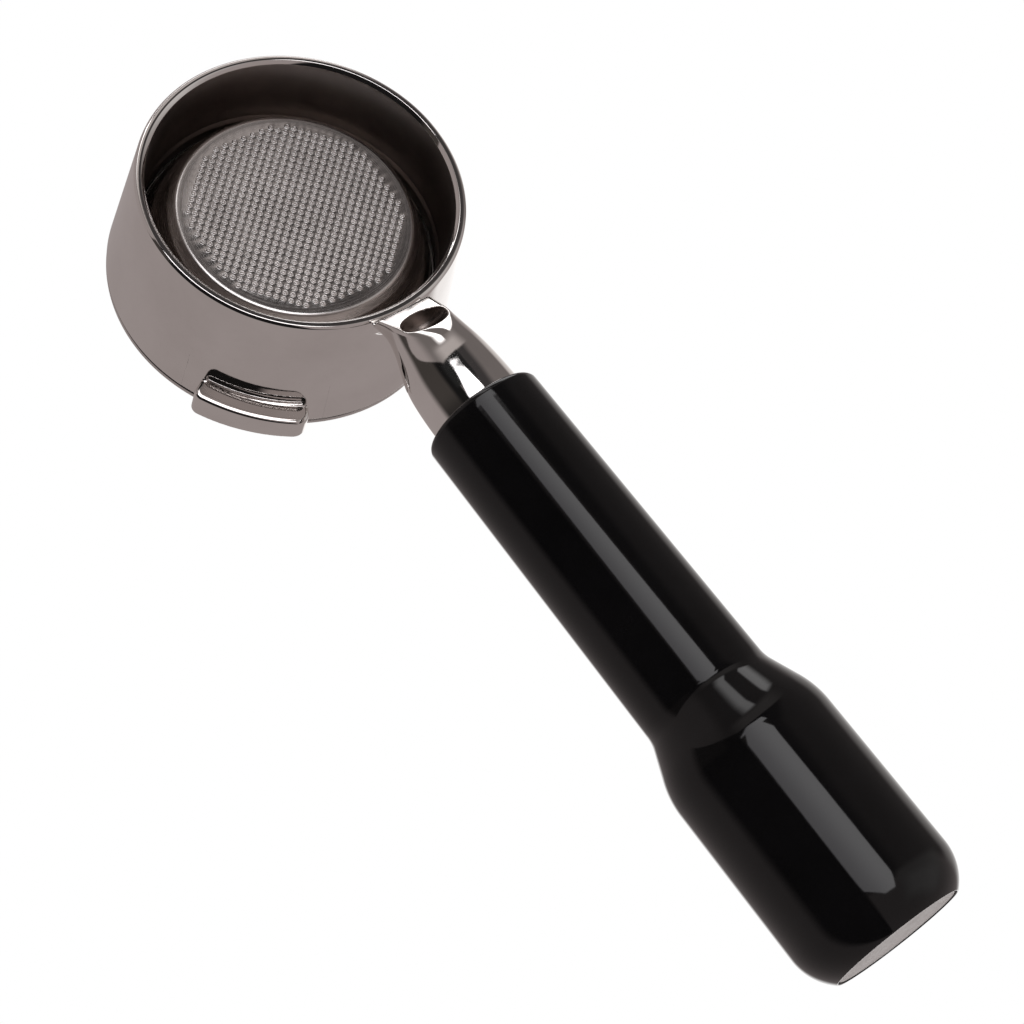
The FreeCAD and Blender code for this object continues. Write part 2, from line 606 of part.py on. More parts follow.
# ---------------------------------------------------------------- tail closure
back = d("tail_station") - d("disc_sink")
PARTS.append(turned("end_plug", [
    (d("plug_station") + 0.05, ZERO),
    (d("plug_station") + 0.05, d("plug_radius") - 0.4),
    (d("plug_station") + 0.45, d("plug_radius")),
    (back - d("disc_thickness") - d("pad_thickness"), d("plug_radius")),
    (back - d("disc_thickness") - d("pad_thickness"), ZERO),
]))
PARTS.append(turned("disc_adhesive_pad", [
    (back - d("disc_thickness") - d("pad_thickness"), ZERO),
    (back - d("disc_thickness") - d("pad_thickness"), d("pad_radius")),
    (back - d("disc_thickness"), d("pad_radius")),
    (back - d("disc_thickness"), ZERO),
]))
PARTS.append(turned("end_disc", [
    (back - d("disc_thickness"), ZERO),
    (back - d("disc_thickness"), d("disc_radius")),
    (back - 0.25, d("disc_radius")),
    (back, d("disc_radius") - 0.25),
    (back, ZERO),
]))
doc.recompute()

# ---------------------------------------------------------------- checks and export
for o in doc.Objects:
    bad = [s for s in o.State if s in ("Invalid", "Error")]
    if bad:
        raise RuntimeError("%s: %s" % (o.Name, bad))
for p in PARTS:
    shape = p.Shape
    if shape.isNull() or not shape.isValid():
        raise RuntimeError("%s has a bad shape" % p.Label)
    if not shape.Solids:
        raise RuntimeError("%s has no solid" % p.Label)
for p in PARTS:
    p.Shape.exportStep("parts/%s.step" % p.Label)
    bb = p.Shape.BoundBox
    print("%-20s solids %d  volume %10.1f  x %.2f..%.2f  y %.2f..%.2f  z %.2f..%.2f" % (
        p.Label, len(p.Shape.Solids), p.Shape.Volume, bb.XMin, bb.XMax, bb.YMin, bb.YMax, bb.ZMin, bb.ZMax))
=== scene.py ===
"""Looks of the bottomless portafilter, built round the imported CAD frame.

Lengths in the builders below are millimetres. Heights "above the rim" are measured
from the ring's bottom rim; ZB turns them into the row frame, whose origin is the
sealing plane on the ring's axis.
"""
import json
import math
import bmesh
import bpy
import numpy as np
from mathutils import Matrix, Vector
from mathutils.geometry import delaunay_2d_cdt

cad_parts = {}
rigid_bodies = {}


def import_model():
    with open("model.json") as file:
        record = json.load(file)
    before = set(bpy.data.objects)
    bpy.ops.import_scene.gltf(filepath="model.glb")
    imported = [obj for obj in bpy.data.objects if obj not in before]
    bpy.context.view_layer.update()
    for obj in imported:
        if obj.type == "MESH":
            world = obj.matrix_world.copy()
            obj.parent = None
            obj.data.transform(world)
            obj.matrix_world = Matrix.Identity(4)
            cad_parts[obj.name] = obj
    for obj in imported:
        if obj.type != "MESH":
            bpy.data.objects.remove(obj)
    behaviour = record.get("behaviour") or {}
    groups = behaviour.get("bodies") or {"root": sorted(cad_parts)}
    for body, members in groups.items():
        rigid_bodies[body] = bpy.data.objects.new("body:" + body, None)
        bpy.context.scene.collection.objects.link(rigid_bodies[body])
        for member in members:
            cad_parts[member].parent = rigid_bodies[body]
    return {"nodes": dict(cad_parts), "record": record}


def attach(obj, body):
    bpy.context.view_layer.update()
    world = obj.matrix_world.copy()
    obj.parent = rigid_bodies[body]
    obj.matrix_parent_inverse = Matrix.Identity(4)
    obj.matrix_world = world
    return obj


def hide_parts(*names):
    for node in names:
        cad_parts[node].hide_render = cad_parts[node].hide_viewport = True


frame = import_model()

for o in list(bpy.data.objects):        # anything the file was opened with
    if o.name in ("Cube", "Light", "Camera"):
        bpy.data.objects.remove(o)

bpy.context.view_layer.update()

ZB = -31.4          # bottom rim in the row frame
ZA = 0.2            # handle axis above the rim
MM = 0.001

# ------------------------------------------------------------------ mesh tools


def make_mesh(name, verts, quads=None, tris=None, normals=None, sharp=None):
    """A mesh object from arrays of positions (mm), quads and triangles."""
    quads = np.zeros((0, 4), int) if quads is None else np.asarray(quads, int)
    tris = np.zeros((0, 3), int) if tris is None else np.asarray(tris, int)
    me = bpy.data.meshes.new(name)
    me.vertices.add(len(verts))
    me.vertices.foreach_set("co", (np.asarray(verts, np.float64) * MM).astype(np.float32).ravel())
    loops = np.concatenate([quads.ravel(), tris.ravel()]).astype(np.int32)
    me.loops.add(len(loops))
    me.loops.foreach_set("vertex_index", loops)
    counts = np.concatenate([np.full(len(quads), 4), np.full(len(tris), 3)])
    starts = np.concatenate([[0], np.cumsum(counts)[:-1]]).astype(np.int32)
    me.polygons.add(len(counts))
    me.polygons.foreach_set("loop_start", starts)
    me.update(calc_edges=True)
    me.validate()
    me.polygons.foreach_set("use_smooth", np.ones(len(me.polygons), bool))
    if sharp is not None:
        me.set_sharp_from_angle(angle=math.radians(sharp))
    if normals is not None:
        me.normals_split_custom_set_from_vertices([tuple(v) for v in np.asarray(normals, float)])
    me.update()
    ob = bpy.data.objects.new(name, me)
    bpy.context.scene.collection.objects.link(ob)
    return ob


def rounded(pts, radii, seg=6, closed=True):
    """The polyline pts with its corners turned into arcs of the given radii."""
    P = [np.array(p, float) for p in pts]
    n = len(P)
    out = []
    for i in range(n):
        r = radii.get(i, 0) if isinstance(radii, dict) else radii
        if r <= 0 or (not closed and i in (0, n - 1)):
            out.append(P[i])
            continue
        a, b, c = P[i - 1], P[i], P[(i + 1) % n]
        u, v = a - b, c - b
        lu, lv = np.linalg.norm(u), np.linalg.norm(v)
        u, v = u / lu, v / lv
        half = math.acos(max(-1, min(1, float(u @ v)))) / 2
        if half > math.radians(89):
            out.append(b)
            continue
        t = min(r / math.tan(half), 0.49 * lu, 0.49 * lv)
        rr = t * math.tan(half)
        centre = b + (u + v) / np.linalg.norm(u + v) * (rr / math.sin(half))
        p0, p1 = b + u * t, b + v * t
        a0 = math.atan2(*(p0 - centre)[::-1])
        a1 = math.atan2(*(p1 - centre)[::-1])
        while a1 - a0 > math.pi:
            a1 -= 2 * math.pi
        while a1 - a0 < -math.pi:
            a1 += 2 * math.pi
        for k in range(seg + 1):
            a = a0 + (a1 - a0) * k / seg
            out.append(centre + rr * np.array([math.cos(a), math.sin(a)]))
    return np.array(out)


def refine(prof, step, closed=False):
    """Adds points to a polyline so that no piece of it is longer than step."""
    P = [tuple(p) for p in prof]
    if closed:
        P.append(P[0])
    out = [P[0]]
    for a, b in zip(P[:-1], P[1:]):
        d = math.hypot(b[0] - a[0], b[1] - a[1])
        k = max(1, int(math.ceil(d / step)))
        for j in range(1, k + 1):
            out.append((a[0] + (b[0] - a[0]) * j / k, a[1] + (b[1] - a[1]) * j / k))
    if closed:
        out.pop()
    return np.array(out)


def dedupe(prof, tol=1e-6):
    keep = [prof[0]]
    for p in prof[1:]:
        if np.linalg.norm(np.asarray(p) - keep[-1]) > tol:
            keep.append(np.asarray(p))
    return np.array(keep)


def lathe_arrays(prof, n, closed, along="Z"):
    """Vertices and faces of a profile [(radius, station)] turned round an axis."""
    prof = dedupe(prof)
    if closed and np.linalg.norm(prof[0] - prof[-1]) < 1e-6:
        prof = prof[:-1]
    m = len(prof)
    ang = np.arange(n) * 2 * math.pi / n
    pole0 = (not closed) and prof[0][0] < 1e-6
    pole1 = (not closed) and prof[-1][0] < 1e-6
    ring = prof[(1 if pole0 else 0):(m - 1 if pole1 else m)]
    k = len(ring)
    r, h = ring[:, 0], ring[:, 1]
    c, s = np.cos(ang)[:, None], np.sin(ang)[:, None]
    if along == "Z":
        V = np.stack([c * r, s * r, np.broadcast_to(h, (n, k))], -1)
    else:
        V = np.stack([np.broadcast_to(h, (n, k)), c * r, s * r], -1)
    V = V.reshape(-1, 3)
    i = np.arange(n)[:, None]
    j = np.arange(k if closed else k - 1)[None, :]
    i2, j2 = (i + 1) % n, (j + 1) % k
    Q = np.stack([i * k + j, i * k + j2, i2 * k + j2, i2 * k + j], -1).reshape(-1, 4)
    T = []
    extra = []
    if pole0:
        c0 = len(V) + len(extra)
        extra.append([0, 0, prof[0][1]] if along == "Z" else [prof[0][1], 0, 0])
        T += [(c0, a * k, ((a + 1) % n) * k) for a in range(n)]
    if pole1:
        c1 = len(V) + len(extra)
        extra.append([0, 0, prof[-1][1]] if along == "Z" else [prof[-1][1], 0, 0])
        T += [(c1, ((a + 1) % n) * k + k - 1, a * k + k - 1) for a in range(n)]
    if extra:
        V = np.vstack([V, extra])
    return V, Q, np.array(T, int).reshape(-1, 3)


def signed_volume(V, Q, T):
    tri = np.vstack([Q[:, [0, 1, 2]], Q[:, [0, 2, 3]], T]) if len(T) else np.vstack([Q[:, [0, 1, 2]], Q[:, [0, 2, 3]]])
    a, b, c = V[tri[:, 0]], V[tri[:, 1]], V[tri[:, 2]]
    return float((a * np.cross(b, c)).sum())


def lathe(name, prof, n, closed=True, along="Z", shift=(0, 0, 0), sharp=30):
    V, Q, T = lathe_arrays(np.asarray(prof, float), n, closed, along)
    if signed_volume(V, Q, T) < 0:
        Q, T = Q[:, ::-1], T[:, ::-1]
    return make_mesh(name, V + np.array(shift), Q, T, sharp=sharp)


# implicit surfaces -------------------------------------------------------------


def smin(a, b, k):
    h = np.clip(0.5 + 0.5 * (b - a) / k, 0, 1)
    return b + (a - b) * h - k * h * (1 - h)


def smax(a, b, k):
    return -smin(-a, -b, k)


def step01(x, a, b):
    t = np.clip((x - a) / (b - a), 0, 1)
    return t * t * (3 - 2 * t)


def gradient(F, P, e=0.01):
    g = np.empty_like(P)
    for a in range(3):
        d = np.zeros(3)
        d[a] = e
        g[:, a] = (F(P + d) - F(P - d)) / (2 * e)
    return g


def surface(F, lo, hi, h, keep=None, relax=2):
    """Quads of F = 0 inside a box, with the exact surface normals."""
    lo, hi = np.array(lo, float), np.array(hi, float)
    n = np.ceil((hi - lo) / h).astype(int) + 1
    ax = [lo[a] + np.arange(n[a]) * h for a in range(3)]
    G = np.empty(n, np.float32)
    yy, zz = np.meshgrid(ax[1], ax[2], indexing="ij")
    flat = np.stack([np.zeros(yy.size), yy.ravel(), zz.ravel()], 1)
    for i in range(0, n[0], 24):
        xs = ax[0][i:i + 24]
        P = np.repeat(flat[None], len(xs), 0)
        P[:, :, 0] = xs[:, None]
        G[i:i + 24] = F(P.reshape(-1, 3)).reshape(len(xs), n[1], n[2])
    S = G < 0
    cn = n - 1
    tot = np.zeros(int(np.prod(cn)), int)
    pos = np.zeros((len(tot), 3))
    faces = []

    def cid(i, j, k):
        return (i * cn[1] + j) * cn[2] + k

    for a in range(3):
        sl0 = [slice(None)] * 3
        sl1 = [slice(None)] * 3
        sl0[a] = slice(0, n[a] - 1)
        sl1[a] = slice(1, n[a])
        s0, s1 = S[tuple(sl0)], S[tuple(sl1)]
        idx = np.argwhere(s0 != s1)
        g0 = G[tuple(sl0)][tuple(idx.T)].astype(float)
        g1 = G[tuple(sl1)][tuple(idx.T)].astype(float)
        t = g0 / (g0 - g1)
        p = lo + idx * h
        p[:, a] += t * h
        b, c = (a + 1) % 3, (a + 2) % 3
        inner = np.ones(len(idx), bool)
        quad = []
        for db, dc in ((-1, -1), (0, -1), (0, 0), (-1, 0)):
            q = idx.copy()
            q[:, b] += db
            q[:, c] += dc
            ok = (q >= 0).all(1) & (q < cn).all(1)
            inner &= ok
            ids = cid(*q[ok].T)
            np.add.at(tot, ids, 1)
            np.add.at(pos, ids, p[ok])
            quad.append(q)
        sel = np.nonzero(inner)[0]
        q4 = np.stack([cid(*q[sel].T) for q in quad], 1)
        flip = s0[tuple(idx[sel].T)]
        q4[~flip] = q4[~flip][:, ::-1]
        faces.append(q4)
    faces = np.vstack(faces)
    used = np.nonzero(tot)[0]
    remap = np.full(len(tot), -1)
    remap[used] = np.arange(len(used))
    V = pos[used] / tot[used][:, None]
    Q = remap[faces]

    def project(V, times):
        for _ in range(times):
            g = gradient(F, V)
            f = F(V)
            s = (g ** 2).sum(1)
            V = V - g * np.clip(f / np.maximum(s, 0.05), -h, h)[:, None]
        return V

    V = project(V, 2)
    for _ in range(relax):
        acc = np.zeros_like(V)
        num = np.zeros(len(V))
        cen = V[Q].mean(1)
        for a in range(4):
            np.add.at(acc, Q[:, a], cen)
            np.add.at(num, Q[:, a], 1)
        inner = num >= 4
        V[inner] = 0.5 * V[inner] + 0.5 * acc[inner] / num[inner][:, None]
        V = project(V, 1)
    V = project(V, 1)
    if keep is not None:
        Q = Q[keep(V[Q].mean(1))]
    live = np.unique(Q)
    remap = np.full(len(V), -1)
    remap[live] = np.arange(len(live))
    V, Q = V[live], remap[Q]
    N = gradient(F, V, 0.02)
    N /= np.maximum(np.linalg.norm(N, axis=1), 1e-9)[:, None]
    # quads wound outwards
    a, b, c, d = (V[Q[:, k]] for k in range(4))
    nf = np.cross(c - a, d - b)
    bad = (nf * N[Q].mean(1)).sum(1) < 0
    Q[bad] = Q[bad][:, ::-1]
    return V, Q, N


# ------------------------------------------------------------------ the ring casting
TAPER = (35.08 - 32.71) / (29.25 - 0.45)
LUG_AZ = (44.8, 224.8)
WIN_HALF = 24.0          # half of the lug patch's window, degrees
WIN_LOW = 18.6           # its lower edge above the rim
WIN_IN = 34.2            # and its inner edge on the ring's top face


def wall_r(z):
    return 32.71 + TAPER * (z - 0.45)


ring_corners = [
    (31.35, 0.0), (32.22, 0.0), (32.71, 0.45), (wall_r(29.25), 29.25), (34.73, 29.6),
    (30.70, 29.6), (30.35, 29.25), (30.35, 22.6), (31.75, 22.6), (31.75, 20.9),
    (30.35, 20.9), (30.35, 18.2), (30.65, 17.0), (30.65, 0.7),
]
ring_prof = rounded(ring_corners, {0: 0.2, 1: 0.3, 2: 0.35, 3: 0.15, 4: 0.15, 5: 0.12, 6: 0.15,
                                   7: 0.08, 8: 0.15, 9: 0.15, 10: 0.08, 11: 0.3, 12: 0.3, 13: 0.25}, seg=4)


def add_levels(prof, levels):
    """Splits the outer wall of the profile at the given heights."""
    out = []
    m = len(prof)
    for i in range(m):
        a, b = prof[i], prof[(i + 1) % m]
        out.append(a)
        if a[0] > 32.5 and b[0] > 32.5 and b[1] - a[1] > 5:
            for z in levels:
                if a[1] < z < b[1]:
                    t = (z - a[1]) / (b[1] - a[1])
                    out.append(a + (b - a) * t)
        if abs(a[1] - 29.6) < 1e-6 and abs(b[1] - 29.6) < 1e-6 and a[0] > WIN_IN > b[0]:
            out.append(np.array([WIN_IN, 29.6]))
    return np.array(out)


ring_prof = add_levels(ring_prof, [1.5, 3, 5, 7.5, 10, 12.5, 15, 17, WIN_LOW, 20, 22, 24, 26, 28])
NR = 720
V, Q, T = lathe_arrays(ring_prof, NR, True)
if signed_volume(V, Q, T) < 0:
    Q = Q[:, ::-1]
cen = V[Q].mean(1)
az = np.degrees(np.arctan2(cen[:, 1], cen[:, 0]))
rad = np.hypot(cen[:, 0], cen[:, 1])
drop = np.zeros(len(Q), bool)
for a0 in LUG_AZ:
    near = np.abs((az - a0 + 180) % 360 - 180) < WIN_HALF
    drop |= near & (rad > 32.6) & (cen[:, 2] > WIN_LOW) & ((rad > WIN_IN) | (cen[:, 2] < 29.5))
Q = Q[~drop]
ring = make_mesh("ring_wall", V + [0, 0, ZB], Q, None, sharp=28)

# lugs ----------------------------------------------------------------------------


def lug_field(P, az0):
    """Distance-like field of the wall, relief and one lug, heights above the rim."""
    a = math.radians(az0)
    x = P[:, 0] * math.cos(a) + P[:, 1] * math.sin(a)
    y = -P[:, 0] * math.sin(a) + P[:, 1] * math.cos(a)
    z = P[:, 2]
    r = np.hypot(x, y)
    th = np.arctan2(y, x)
    u = th * 37.0                       # length round the lug; minus is the handle's side of lug 1
    wall = (r - (wall_r(z) - 0.015)) * 0.9967
    wall = smax(wall, (r - 34.73) * 0.7071 + (z - 29.6) * 0.7071, 0.1)
    wall = smax(wall, z - 29.6, 0.1)
    # relief
    cu, cz = 9.9, 1.15
    rr = np.where(z < 23.05, 1.15, 0.6)
    dz2 = np.abs(z - 23.05) - cz + rr
    du2 = np.abs(th * 34.3) - cu + rr
    band = np.hypot(np.maximum(du2, 0), np.maximum(dz2, 0)) + np.minimum(np.maximum(du2, dz2), 0) - rr
    relief = smax(band, 33.93 - r, 0.3)
    wall = smax(wall, -relief, 0.25)
    # lug in plan: rounded ends of two radii
    half = math.radians(18) * 37.0
    rp = np.where(u < 0, 3.0, 1.9)
    du, dv = np.abs(u) - half + rp, (r - 38.95) + rp
    plan = np.hypot(np.maximum(du, 0), np.maximum(dv, 0)) + np.minimum(np.maximum(du, dv), 0) - rp
    under = (24.1 + math.tan(math.radians(2.0)) * (-u) - z)
    lug = smax(plan, under, 1.0)
    lug = smax(lug, z - 29.6, 0.35)
    return smin(wall, lug, 0.5)


for k, az0 in enumerate(LUG_AZ):
    a0 = math.radians(az0)

    def F(P, az0=az0):
        return lug_field(P, az0)

    def local(P, az0=az0):
        """The same field in axes turned so that the lug points along +X."""
        return lug_field(P, 0.0)

    def keep(C):
        t = np.degrees(np.arctan2(C[:, 1], C[:, 0]))
        r = np.hypot(C[:, 0], C[:, 1])
        return (np.abs(t) < WIN_HALF + 0.3) & (C[:, 2] > WIN_LOW - 0.25) & (r > WIN_IN - 0.4 - (C[:, 2] < 29.4) * 1.2)

    V, Q, N = surface(local, (29.5, -17.5, 18.0), (39.6, 17.5, 30.2), 0.22, keep)
    c, s = math.cos(a0), math.sin(a0)
    M = np.array([[c, -s, 0], [s, c, 0], [0, 0, 1]])
    lug = make_mesh("bayonet_lug_%d" % (k + 1), V @ M.T + [0, 0, ZB - 0.0], Q, None, normals=N @ M.T)
    lug.parent = ring

# neck ----------------------------------------------------------------------------
NX = np.array([26.0, 32.2, 36.0, 38.6, 41.8, 47.0, 51.0, 55.0, 61.3, 66.0])
NHW = np.array([6.6, 6.55, 6.35, 6.75, 7.5, 8.8, 9.35, 9.6, 9.7, 9.7])
NHH = np.array([5.5, 5.6, 5.75, 5.9, 6.7, 8.8, 9.35, 9.6, 9.7, 9.7])
NMD = np.array([-0.3, -0.9, -1.6, -1.7, -1.25, -0.1, 0.15, 0.2, 0.2, 0.2])


def spline(xs, ys):
    """Natural cubic through the points, as a function of arrays."""
    n = len(xs)
    h = np.diff(xs)
    A = np.zeros((n, n))
    b = np.zeros(n)
    A[0, 0] = A[-1, -1] = 1
    for i in range(1, n - 1):
        A[i, i - 1], A[i, i], A[i, i + 1] = h[i - 1], 2 * (h[i - 1] + h[i]), h[i]
        b[i] = 6 * ((ys[i + 1] - ys[i]) / h[i] - (ys[i] - ys[i - 1]) / h[i - 1])
    m = np.linalg.solve(A, b)

    def f(x):
        x = np.clip(x, xs[0], xs[-1])
        i = np.clip(np.searchsorted(xs, x) - 1, 0, n - 2)
        t0, t1 = x - xs[i], xs[i + 1] - x
        return (m[i] * t1 ** 3 + m[i + 1] * t0 ** 3) / (6 * h[i]) + (ys[i] / h[i] - m[i] * h[i] / 6) * t1 + (ys[i + 1] / h[i] - m[i + 1] * h[i] / 6) * t0
    return f


f_hw, f_hh, f_md = spline(NX, NHW), spline(NX, NHH), spline(NX, NMD)
SLOPE = math.atan(0.689)


def neck_only(P):
    x, y, z = P[:, 0], P[:, 1], P[:, 2]
    hw, hh, md = f_hw(x), f_hh(x), f_md(x)
    q = np.hypot(y / hw, (z - md) / hh)
    g = np.hypot(y / hw ** 2, (z - md) / hh ** 2)
    body = q * (q - 1) / np.maximum(g, 1e-3)
    body = np.where(q < 0.2, -5.0, body)
    flat = ((-4.91 - 0.689 * (x - 38.0)) - z) * math.cos(SLOPE)
    body = smax(body, flat, 0.9)
    # step down from the rim
    edge = 32.75 + (0.7 - z) * 0.16
    cutter = smax(x - edge, z - 0.7, 0.3)
    body = smax(body, -cutter, 0.45)
    # casting pocket
    a, b, c = 3.35, 6.0, 9.0
    dx, dy, dz = x - 38.45, y, z + 9.8
    k0 = np.sqrt((dx / a) ** 2 + (dy / b) ** 2 + (dz / c) ** 2)
    k1 = np.sqrt((dx / a ** 2) ** 2 + (dy / b ** 2) ** 2 + (dz / c ** 2) ** 2)
    pocket = k0 * (k0 - 1) / np.maximum(k1, 1e-3)
    return smax(body, -pocket, 0.3)


def ring_only(P):
    x, y, z = P[:, 0], P[:, 1], P[:, 2]
    r = np.hypot(x, y)
    f = (r - (wall_r(z) - 0.02)) * 0.9967
    f = smax(f, (r - 32.2) * 0.676 - (z - 0.02) * 0.737, 0.1)
    return smax(f, 0.02 - z, 0.1)


def neck_field(P):
    z = P[:, 2]
    k = 0.12 + 2.4 * step01(z, 0.8, 4.0)
    return smin(neck_only(P), ring_only(P), k)


def neck_keep(C):
    n = neck_only(C)
    return (n < 2.7) & ((n < 0.3) | (ring_only(C) > -0.06) & (C[:, 2] > 0.3)) & (C[:, 0] < 61.2) & (np.hypot(C[:, 0], C[:, 1]) > 32.0)


V, Q, N = surface(neck_field, (29.5, -13.0, -11.0), (61.6, 13.0, 13.0), 0.22, neck_keep)
neck = make_mesh("neck", V + [0, 0, ZB], Q, None, normals=N)
neck.parent = ring

# spigot and tapped hole inside the handle
spig = rounded([(9.68, 61.2), (9.68, 61.3), (7.4, 61.3), (7.4, 73.0), (4.02, 73.0), (4.02, 47.0), (0.0, 46.0)],
               {3: 0.5, 4: 0.4}, seg=3, closed=False)
V, Q, T = lathe_arrays(refine(spig, 1.2), 96, False, "X")
spigot = make_mesh("spigot", V + [0, 0, ZB + ZA], Q[:, ::-1], T[:, ::-1], sharp=30)
spigot.parent = ring

# ------------------------------------------------------------------ filter basket
basket_corners = [
    (22.6, 8.75), (23.75, 8.75), (25.15, 10.6), (30.0, 20.9), (30.0, 29.65), (35.0, 29.65),
    (35.0, 31.4), (29.3, 31.4), (29.3, 20.75), (24.4, 10.45), (23.35, 9.45), (22.3, 9.45),
]
basket_prof = rounded(basket_corners, {1: 1.1, 2: 2.2, 3: 8.0, 4: 0.5, 5: 0.6, 6: 0.85, 7: 0.7, 8: 7.0, 9: 1.8, 10: 0.8},
                      seg=8, closed=False)
basket_prof = refine(basket_prof, 0.9)
bV, bQ, _ = lathe_arrays(basket_prof, 512, False)

PITCH = 1.5104
PHI = -0.72445
LC = (0.2, -0.13)
ROWS = {0: 14, 1: 14, 2: 14, 3: 14, 4: 14, 5: 13, 6: 13, 7: 12, 8: 11, 9: 10, 10: 9, 11: 8, 12: 7, 13: 5}
dots = []
for j in range(-14, 14):
    reach = ROWS[j if j >= 0 else -1 - j]
    for i in range(-reach, reach):
        u, v = (i + 0.5) * PITCH, (j + 0.5) * PITCH
        dots.append((math.cos(PHI) * u - math.sin(PHI) * v + LC[0], math.sin(PHI) * u + math.cos(PHI) * v + LC[1]))
dots = np.array(dots)


def holed_disc(ring_pts, hole_r, seg, z):
    """Flat plate with round holes at the dots. Returns verts, triangles and the hole loops."""
    ang = np.arange(seg) * 2 * math.pi / seg
    circle = np.stack([np.cos(ang), np.sin(ang)], 1) * hole_r
    loops = dots[:, None, :] + circle[None]
    n0 = len(ring_pts)
    pts = [Vector(p) for p in ring_pts] + [Vector(p) for p in loops.reshape(-1, 2)]
    edges = [(i, (i + 1) % n0) for i in range(n0)]
    for d in range(len(dots)):
        b = n0 + d * seg
        edges += [(b + i, b + (i + 1) % seg) for i in range(seg)]
    vs, es, fs, ov, oe, of_ = delaunay_2d_cdt(pts, edges, [], 0, 1e-5)
    vs = np.array([tuple(v) for v in vs])
    fs = np.array([tuple(f) for f in fs if len(f) == 3])
    src = np.array([o[0] if o else -1 for o in ov])
    c = vs[fs].mean(1)
    hole = np.zeros(len(fs), bool)
    owner = np.where(src >= n0, (src - n0) // seg, -1)
    own = owner[fs]
    hole = (own[:, 0] >= 0) & (own[:, 0] == own[:, 1]) & (own[:, 1] == own[:, 2])
    outside = np.hypot(c[:, 0], c[:, 1]) > np.hypot(*ring_pts[0])
    fs = fs[~hole & ~outside]
    back = np.full(n0 + len(dots) * seg, -1)
    for k, o in enumerate(ov):
        for q in o:
            back[q] = k
    V = np.column_stack([vs, np.full(len(vs), z)])
    return V, fs, back[n0:].reshape(len(dots), seg), back[:n0]


SEG = 16
ang5 = np.arange(512) * 2 * math.pi / 512
rim_lo = np.stack([np.cos(ang5), np.sin(ang5)], 1) * 22.6
rim_hi = np.stack([np.cos(ang5), np.sin(ang5)], 1) * 22.3
loV, loT, loL, loB = holed_disc(rim_lo, 0.62, SEG, 8.75)
hiV, hiT, hiL, hiB = holed_disc(rim_hi, 0.40, SEG, 9.45)
parts_V = [bV, loV, hiV]
o1, o2 = len(bV), len(bV) + len(loV)
quads = [bQ]
k = bV.shape[0] // 512
a = np.arange(512)
# the plates share their rims with the turned wall
first, last = a * k, a * k + k - 1
weld = {}
loT = loT + o1
hiT = hiT + o2
total = o2 + len(hiV)
alias = np.arange(total)
alias[o1 + loB[a]] = first
alias[o2 + hiB[a]] = last
# dome and hole: (radius, height above the rim) from the underside plate to the upper plate
dome = [(0.55, 8.735), (0.50, 8.69), (0.455, 8.60), (0.42, 8.515), (0.375, 8.465), (0.31, 8.45), (0.245, 8.475),
        (0.205, 8.54), (0.19, 8.65), (0.185, 8.9), (0.19, 9.15), (0.24, 9.32), (0.32, 9.42)]
sa = np.arange(SEG) * 2 * math.pi / SEG
circ = np.stack([np.cos(sa), np.sin(sa)], 1)
rows = []
base = total
for r, z in dome:
    P = dots[:, None, :] + circ[None] * r
    rows.append(np.concatenate([P, np.full(P.shape[:2] + (1,), z)], 2))
domeV = np.stack(rows, 1)                      # dots, rings, seg, 3
nd, nr = len(dots), len(dome)
ids = base + np.arange(nd * nr * SEG).reshape(nd, nr, SEG)
chain = np.concatenate([(loL + o1)[:, None], ids, (hiL + o2)[:, None]], 1)
nxt = np.roll(chain, -1, axis=2)
dq = np.stack([chain[:, :-1], nxt[:, :-1], nxt[:, 1:], chain[:, 1:]], -1).reshape(-1, 4)
allV = np.vstack(parts_V + [domeV.reshape(-1, 3)])
alias = np.concatenate([alias, np.arange(base, base + nd * nr * SEG)])
quads.append(dq)
Qa = alias[np.vstack(quads)]
Ta = alias[np.vstack([loT, hiT])]
live = np.unique(np.concatenate([Qa.ravel(), Ta.ravel()]))
remap = np.full(len(allV), -1)
remap[live] = np.arange(len(live))
allV, Qa, Ta = allV[live], remap[Qa], remap[Ta]


basket = make_mesh("perforated_basket", allV + [0, 0, ZB], Qa, Ta)
bm = bmesh.new()
bm.from_mesh(basket.data)
bmesh.ops.recalc_face_normals(bm, faces=bm.faces)
bm.to_mesh(basket.data)
bm.free()
basket.data.set_sharp_from_angle(angle=math.radians(50))

# ------------------------------------------------------------------ retaining spring
R0, RW = 31.05, 0.65
nt = 600
t = np.radians(np.linspace(99.0, 99.0 + 342.0, nt))
sec = np.arange(20) * 2 * math.pi / 20
near = np.minimum(np.arange(nt), np.arange(nt)[::-1]) * (R0 * math.radians(342) / nt)
scale = np.sqrt(np.clip(1 - (1 - np.clip(near / 0.5, 0.0, 1.0)) ** 2, 0.04, 1))
rr = R0 + RW * scale[:, None] * np.cos(sec)[None]
zz = 21.75 + RW * scale[:, None] * np.sin(sec)[None]
V = np.stack([rr * np.cos(t)[:, None], rr * np.sin(t)[:, None], zz], -1).reshape(-1, 3)
i, j = np.arange(nt - 1)[:, None], np.arange(20)[None]
j2 = (j + 1) % 20
Q = np.stack([i * 20 + j, (i + 1) * 20 + j, (i + 1) * 20 + j2, i * 20 + j2], -1).reshape(-1, 4)
c0, c1 = len(V), len(V) + 1
V = np.vstack([V, V[:20].mean(0), V[-20:].mean(0)])
T = [(c0, k, (k + 1) % 20) for k in range(20)] + [(c1, (nt - 1) * 20 + (k + 1) % 20, (nt - 1) * 20 + k) for k in range(20)]
spring = make_mesh("basket_spring_wire", V + [0, 0, ZB], Q, T)
bm = bmesh.new()
bm.from_mesh(spring.data)
bmesh.ops.recalc_face_normals(bm, faces=bm.faces)
bm.to_mesh(spring.data)
bm.free()


